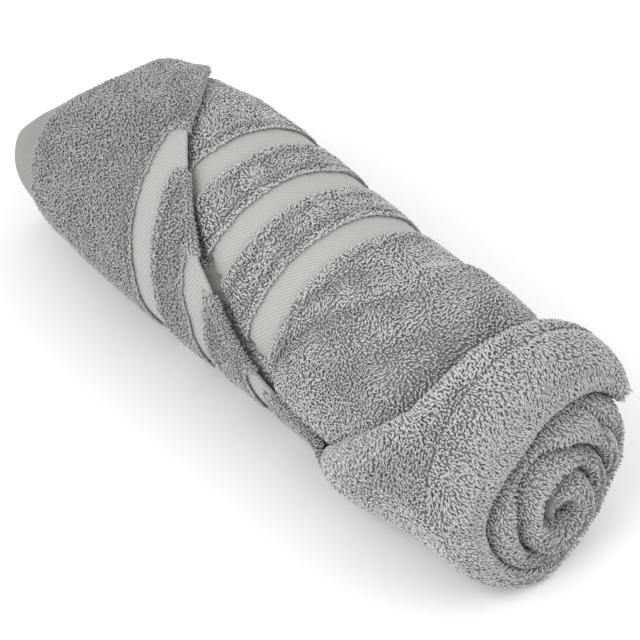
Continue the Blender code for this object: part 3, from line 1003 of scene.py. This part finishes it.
# The pile of the second turn, where the mouth and the back leave it bare. It is the same woven
# cotton loops as on the lap, painted lighter. They are pressed into soft folds, with painted light
# on the ridges and painted shade in the troughs, and run on a little under the lap's free edge.
UNDER_LAP = 0.013          # how far they run on under it
UNDER_CUFF = 0.006         # and under the cuff's edge
SECOND_FROM = -300.0
BACK_FROM = 190.0          # angle where its pile is parted in two meshes
RIDGE_SHIFT = 0.0080       # distance from a trough to the ridge beside it
RIDGE_FULL = 0.0022        # depth at which the ridge, and the trough, have their full painted light and shade
TROUGH_FULL = 0.0018
LOW_LIGHT = (78.0, 20.0)   # painted light low at the front, and painted shade high up: angle, half width
HIGH_PAINTED_SHADE = (120.0, 14.0)
HIGH_PAINTED_SHADE_PLACE = (0.078, 0.022)


def fold_light(angle, place):
    """Painted light and shade of the second turn's folds, from -1 in a trough to 1 on a ridge beside it."""
    local = around(angle)
    folds = creases(local, place + RIDGE_SHIFT) / RIDGE_FULL - creases(local, place) / TROUGH_FULL
    high_painted_shade = 0.4 * bell(local, *HIGH_PAINTED_SHADE) * bell(place, *HIGH_PAINTED_SHADE_PLACE)
    folds = folds + 0.65 * bell(local, *LOW_LIGHT) - high_painted_shade
    return np.clip(folds + beside_stripes(angle, place), -1.3, 1.2)


def under_cuff_edge(angle, place):
    """Whether a spot on the second turn is clear of the cuff."""
    local = around(angle)
    return (place < cuff_edge(local) + UNDER_CUFF) | (local > CUFF_END[0])


angle, place = lattice(SECOND_FROM, SEAM, HEM_END, LIP_START)
keep = ~bare(angle, place)
keep &= place > lap_edge(around(angle)) - UNDER_LAP
keep &= under_cuff_edge(angle, place)
front = keep & (around(angle) < BACK_FROM)
back = keep & (around(angle) >= BACK_FROM)
# The second turn's pile is painted lighter than the lap's, with the painted light and shade of its folds
for name, part in (("pile_second_front", front), ("pile_second_back", back)):
    fold = fold_light(angle[part], place[part])
    pieces.append(on_roll(name, angle[part], place[part], swirl(3), stray=0.45, bright=1.13, fold=fold))

# The pile along the sides of the stripes. Its loops are the last row of cotton loops woven beside
# the smooth twill, with nothing to hold them up on that side, so they hang over it.
EDGE_GAP = 0.62            # gap between them, as a share of the other loops'
OVERHANG = (0.0001, 0.0010)


def heading(turn):
    """The same heading for every loop."""
    return lambda point, u, v: np.full(len(u), turn)


edge_gap = math.degrees(EDGE_GAP * LOOP_GAP_ROUND / LATTICE_RADIUS)
for number in range(STRIPES):
    for side, lean in ((-1, 0.0), (1, math.pi)):
        angle = np.arange(SECOND_FROM, TAIL, edge_gap)
        angle = np.repeat(angle, 2) + draw.uniform(-0.5, 0.5, 2 * len(angle)) * edge_gap
        left, right = stripe_sides(number, angle)
        flat = (right if side > 0 else left) + side * draw.uniform(*OVERHANG, len(angle))
        place = flat + bend(angle, flat + bend(angle, flat + 0.5 * EDGE_BEND))
        local = around(angle)
        edge = lap_edge(local)
        on_lap = (place < edge - LAP_TOP) | (angle < MOUTH[1])
        kept = np.where(angle > SEAM, on_lap, place > edge - UNDER_LAP)
        kept &= np.where(angle > SEAM, True, under_cuff_edge(angle, place))
        name = "pile_stripe_{}_{}".format(number + 1, "left" if side < 0 else "right")
        pieces.append(on_roll(name, angle[kept], place[kept], heading(lean), size=0.72, stray=0.55))

# The pile of the cuff above the mouth. The cuff is where the outermost turn's cloth folds back
# at the folded end, and its cotton loops, opened by the bend, stand fuller than the rest.
CUFF_GAP = 1.10            # gap between its loops, as a share of the other loops'
CUFF_SIZE = 1.16
CUFF_START = 0.08
CUFF_OVER = 0.0012         # how far they run on over the rounded edge
EDGE_LIGHT = (0.006, 0.010)        # painted light: distance past the cuff's edge, half width
EDGE_PAINTED_SHADE = (0.028, 0.016)
TOP_PAINTED_SHADE = (150.0, 185.0)
FRONT_LIGHT = (58.0, 28.0)         # painted light: angle, half width
FRONT_PAINTED_SHADE = (118.0, 26.0)


def past_edge(angle, place, past, half_width):
    """1 at a distance past the cuff's edge, falling off on both sides."""
    return bell(place, cuff_edge(angle) + past, half_width)


angle, place = lattice(MOUTH[1], CUFF_END[1], CUFF_START, LIP_START, CUFF_GAP)
keep = place > cuff_edge(angle) + CUFF_ROUND - CUFF_OVER
angle = angle[keep]
place = place[keep]
# Painted light and shade on the cuff's pile: lighter just past its edge and low at the front, darker further
# past the edge, on its top and high at the front; its loops also lie flatter where lighter
fold = 0.8 * past_edge(angle, place, *EDGE_LIGHT) - 0.4 * past_edge(angle, place, *EDGE_PAINTED_SHADE)
fold = fold - 0.35 * ease(angle, *TOP_PAINTED_SHADE)
fold = fold + 0.55 * bell(angle, *FRONT_LIGHT)
fold = fold - 0.3 * bell(angle, *FRONT_PAINTED_SHADE)
pieces.append(on_roll("pile_cuff", angle, place, swirl(4, 0.3, 0.55), size=CUFF_SIZE, stray=0.45, fold=fold))

# The pile round the lap's free edge. The edge is the cloth turned under on itself, so its cotton
# loops fan out from a thin round and are a little shorter to the eye.
LAP_EDGE_TURNS = [0.02, 0.16, 0.30, 0.46, 0.64, 0.84]   # shares of the way round the edge
LAP_EDGE_GAP = 0.00115
LAP_EDGE_SIZE = 0.8
EDGE_FROM = MOUTH[0] + 2.0 # angle where the mouth is open enough for it
INSIDE_EDGE = 0.002        # where a stripe that runs out over the edge is looked for


def lap_edge_face(angle, turn):
    """The lap's rounded edge, turn 0 on top."""
    place, drop = lap_curl(angle, turn)
    return outer_face(angle, place, drop)


def off_lap_edge(point, u, v):
    """Direction away from the middle of the rounded edge."""
    out = from_axis(point, u, v)
    out /= np.linalg.norm(out, axis=1, keepdims=True)
    return out * np.cos(v)[:, None] + np.array([1.0, 0.0, 0.0]) * np.sin(v)[:, None]


def edge_spots(surface, first, last, turns, gap):
    """Spots along an edge, evenly by its own length, for each turn round its curl."""
    fine = np.linspace(first, last, 400)
    points = surface(fine, np.full_like(fine, 0.5 * HALF))
    run = np.concatenate([[0.0], np.cumsum(np.linalg.norm(np.diff(points, axis=0), axis=1))])
    count = int(run[-1] / gap)
    spots, turn = np.meshgrid(np.arange(count) + 0.5, turns)
    spots = spots + 0.5 * (np.arange(len(turns)) % 2)[:, None] + draw.uniform(-0.4, 0.4, spots.shape)
    turn = turn + draw.uniform(-0.10, 0.10, turn.shape)
    return np.interp(spots * gap, run, fine).ravel(), turn.ravel()


lap_turns = np.array(LAP_EDGE_TURNS) * HALF
angle, turn = edge_spots(lap_edge_face, EDGE_FROM, RIM_END, lap_turns, LAP_EDGE_GAP)
keep = ~bare(angle, lap_edge(angle) - INSIDE_EDGE)
# Its loops are painted a little darker, as painted shade
pieces.append(strew("pile_lap_edge", lap_edge_face, angle[keep], turn[keep], STEP_ROUND, STEP_TURN,
                    heading(0.5), size=LAP_EDGE_SIZE, stray=0.45, bright=0.85, outward=off_lap_edge))

# The pile round the cuff's edge. Here the whole stack turns under, thick and round, and its
# cotton loops comb over the edge and down into the mouth.
CUFF_TURNS = (0.02, 0.98, 0.075)   # first, last and step, as shares of the way round the edge
COMBED_FROM = 0.05 * HALF
COMBED_TO = 0.55 * HALF


def cuff_edge_face(angle, turn):
    """The cuff's rounded edge, turn 0 on top."""
    place, drop = cuff_curl(angle, turn)
    return outer_face(angle, place, drop)


def combed_over(point, u, v):
    """Headings that turn down over the edge."""
    return 0.3 + 2.5 * ease(v, COMBED_FROM, COMBED_TO)


cuff_turns = np.arange(*CUFF_TURNS) * HALF
angle, turn = edge_spots(cuff_edge_face, EDGE_FROM, CUFF_END[1], cuff_turns, LOOP_GAP_ROUND)
# Its loops are painted lighter and lie flatter, as painted light on a fold
pieces.append(strew("pile_cuff_edge", cuff_edge_face, angle, turn, STEP_ROUND, STEP_TURN, combed_over,
                    stray=0.45, fold=0.35))

# The pile of the folded end: the folds of all the turns, one behind the other. Each is the cloth
# bent back on itself, so its cotton loops point outwards. The hem's tongue in the middle has none.
LIP_STEP_ROUND = 0.5       # small steps for its slope: angle, turn
LIP_STEP_TURN = 0.03
LEAST_RADIUS = 0.004       # the loops stand no closer round the core than at this radius
LIP_JITTER = 0.8
TONGUE_TURN = 0.62 * HALF  # how far over the fold the tongue reaches
FINER = 0.28               # how much smaller the loops are on the outermost fold, at its foot
FINER_RISE = (-150.0, -100.0)
FINER_FALL = (20.0, 60.0)
lip_angle = []
lip_turn = []
at = CORE_ANGLE + 2.0
fine = np.linspace(0.0, HALF, 41)
while at < CUFF_END[1]:
    points = near_lip(np.full_like(fine, at), fine)
    run = np.concatenate([[0.0], np.cumsum(np.linalg.norm(np.diff(points, axis=0), axis=1))])
    spots = np.arange(0.5, run[-1] / LOOP_GAP_ALONG)
    spots = spots + draw.uniform(-0.4, 0.4, len(spots))
    lip_turn.append(np.interp(spots * LOOP_GAP_ALONG, run, fine))
    lip_angle.append(np.full(len(spots), at))
    out = np.max(np.hypot(points[:, 1] - AXIS_Y - CORE[0], points[:, 2] - CORE[1]))
    at += math.degrees(LOOP_GAP_ROUND / max(out, LEAST_RADIUS))
lip_angle = np.concatenate(lip_angle)
lip_turn = np.concatenate(lip_turn)
lip_angle = lip_angle + draw.uniform(-LIP_JITTER, LIP_JITTER, len(lip_angle))
keep = (lip_angle > TONGUE_END) | (lip_turn > TONGUE_TURN)
lip_angle = lip_angle[keep]
lip_turn = lip_turn[keep]
finer = FINER * ease(lip_angle, *FINER_RISE) * (1.0 - ease(lip_angle, *FINER_FALL))
lip_size = 1.0 - finer * (lip_turn < 0.5 * HALF)


def nearly_straight(point, u, v):
    """Headings over the fold, hardly turned aside."""
    return 0.35 * wander(np.radians(u) * 0.04, v * 0.01, 9, 0.02)


def out_of_end(point, u, v):
    """Direction out of the folded end."""
    return np.stack([np.sin(v) + 0.2, np.zeros_like(u), np.zeros_like(u)], -1)


# Its loops are painted lighter and lie flatter, as painted light on the folds
pieces.append(strew("pile_folded_end", near_lip, lip_angle, lip_turn, LIP_STEP_ROUND, LIP_STEP_TURN,
                    nearly_straight, size=lip_size, stray=0.42, fold=0.32, outward=out_of_end))

# The floor: a sheet of pale matt paper, laid flat and wide enough to fill the view, so that the
# towel's soft shadow fades into white all round.
FLOOR_SIZE = 6.0
PAPER_WHITE = (0.86, 0.86, 0.86, 1.0)
floor_mesh = bpy.data.meshes.new("floor")
flat = bmesh.new()
bmesh.ops.create_grid(flat, x_segments=1, y_segments=1, size=FLOOR_SIZE / 2)
flat.to_mesh(floor_mesh)
flat.free()
floor = bpy.data.objects.new("floor", floor_mesh)
bpy.context.scene.collection.objects.link(floor)
paper = bpy.data.materials.new("pale_paper")
paper.use_nodes = True
paper.node_tree.nodes["Principled BSDF"].inputs["Base Color"].default_value = PAPER_WHITE
paper.node_tree.nodes["Principled BSDF"].inputs["Roughness"].default_value = 0.9
floor_mesh.materials.append(paper)

# The light: an even white studio, with a broad soft lamp high in front of the towel, and a weaker
# one beyond its folded end. Both are round, and wide enough to leave no hard shadow.
STUDIO_WHITE = (1.0, 1.0, 1.0, 1.0)
STUDIO_STRENGTH = 1.05
LIT_SPOT = (0.0, 0.0, 0.05)
LAMP_SIZE = 1.2
world = bpy.data.worlds.new("studio")
world.use_nodes = True
world.node_tree.nodes["Background"].inputs["Color"].default_value = STUDIO_WHITE
world.node_tree.nodes["Background"].inputs["Strength"].default_value = STUDIO_STRENGTH
bpy.context.scene.world = world


def soft_box(name, place, power):
    """A round soft lamp that points at the towel."""
    lamp = bpy.data.lights.new(name, "AREA")
    lamp.shape = "DISK"
    lamp.size = LAMP_SIZE
    lamp.energy = power
    light = bpy.data.objects.new(name, lamp)
    light.location = place
    light.rotation_euler = (Vector(LIT_SPOT) - Vector(place)).to_track_quat("-Z", "Y").to_euler()
    bpy.context.scene.collection.objects.link(light)


soft_box("key", (0.1, -1.3, 1.2), 14.0)
soft_box("fill", (1.2, 0.6, 1.2), 5.0)
bpy.context.scene.view_settings.view_transform = "Standard"

# The camera, at the photograph's angle: high up, in front of the roll and well to the side of its
# folded end, with a long lens.
VIEW_AZIMUTH = math.radians(49.63)
VIEW_HEIGHT = math.radians(41.61)
VIEW_DISTANCE = 1.0084
AIM = Vector((0.0276, -0.0072, 0.0537))
LENS = 123.75              # mm, on a sensor 36 mm wide
lens = bpy.data.cameras.new("camera")
lens.sensor_width = 36.0
lens.lens = LENS
lens.clip_start = 0.01
camera = bpy.data.objects.new("camera", lens)
outward = Vector((
    math.cos(VIEW_HEIGHT) * math.sin(VIEW_AZIMUTH),
    -math.cos(VIEW_HEIGHT) * math.cos(VIEW_AZIMUTH),
    math.sin(VIEW_HEIGHT),
))
camera.location = AIM + outward * VIEW_DISTANCE
camera.rotation_euler = (-outward).to_track_quat("-Z", "Y").to_euler()
bpy.context.scene.collection.objects.link(camera)
bpy.context.scene.camera = camera

bpy.context.view_layer.update()
